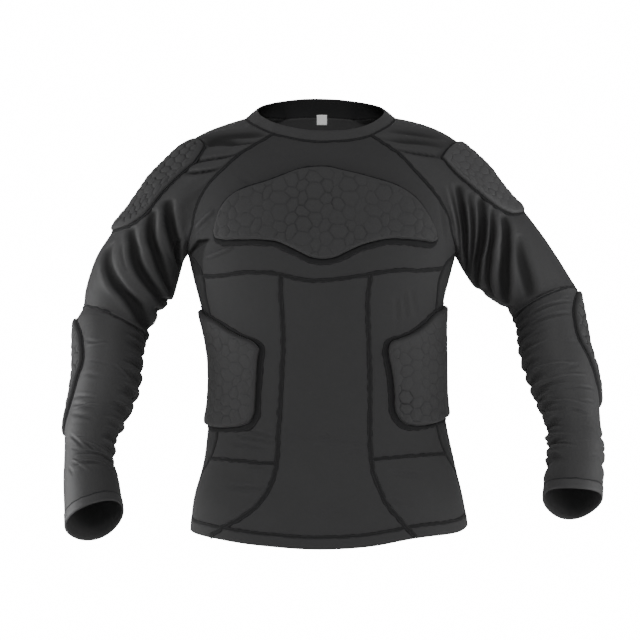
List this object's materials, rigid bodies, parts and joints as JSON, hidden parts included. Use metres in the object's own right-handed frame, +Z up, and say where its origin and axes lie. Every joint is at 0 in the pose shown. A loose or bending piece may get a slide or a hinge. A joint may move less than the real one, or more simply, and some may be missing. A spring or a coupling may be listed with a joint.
{
  "type": "padded armour shirt",
  "caption": "Pull-on long-sleeved stretch shirt with raglan sleeves, a low collar band and honeycomb pads on chest, shoulders, ribs and elbows, filled out as if worn.",
  "frame": {"origin": "between the shoulders, level with the foot of the collar at the sides, where the wearer holds the shirt up", "axes": "+X to the wearer's left, -Y to the front, +Z up"},
  "size_m": [0.7702, 0.3068, 0.6465],
  "materials": {
    "knit": "matte charcoal stretch knit",
    "sleeve_knit": "charcoal stretch knit with a faint sheen",
    "side_knit": "matte dark stretch knit",
    "collar_rib": "matte dark folded knit band",
    "pad_cover": "knit bonded over moulded foam cells",
    "label_tape": "white satin tape, blank"
  },
  "bodies": {
    "root": {"collar": "collar_rib", "front_yoke": "knit", "front_centre": "knit", "front_side_right": "knit", "front_side_left": "knit", "front_hip_right": "knit", "front_hip_left": "knit", "back": "knit", "side_panel_right": "side_knit", "side_panel_left": "side_knit", "sleeve_upper_right": "sleeve_knit", "sleeve_upper_left": "sleeve_knit", "sleeve_lower_right": "sleeve_knit", "sleeve_lower_left": "sleeve_knit", "chest_pad": "pad_cover", "rib_pad_right": "pad_cover", "rib_pad_left": "pad_cover", "shoulder_pad_right": "pad_cover", "shoulder_pad_left": "pad_cover", "elbow_pad_right": "pad_cover", "elbow_pad_left": "pad_cover", "neck_label": "label_tape"}
  },
  "joints": []
}
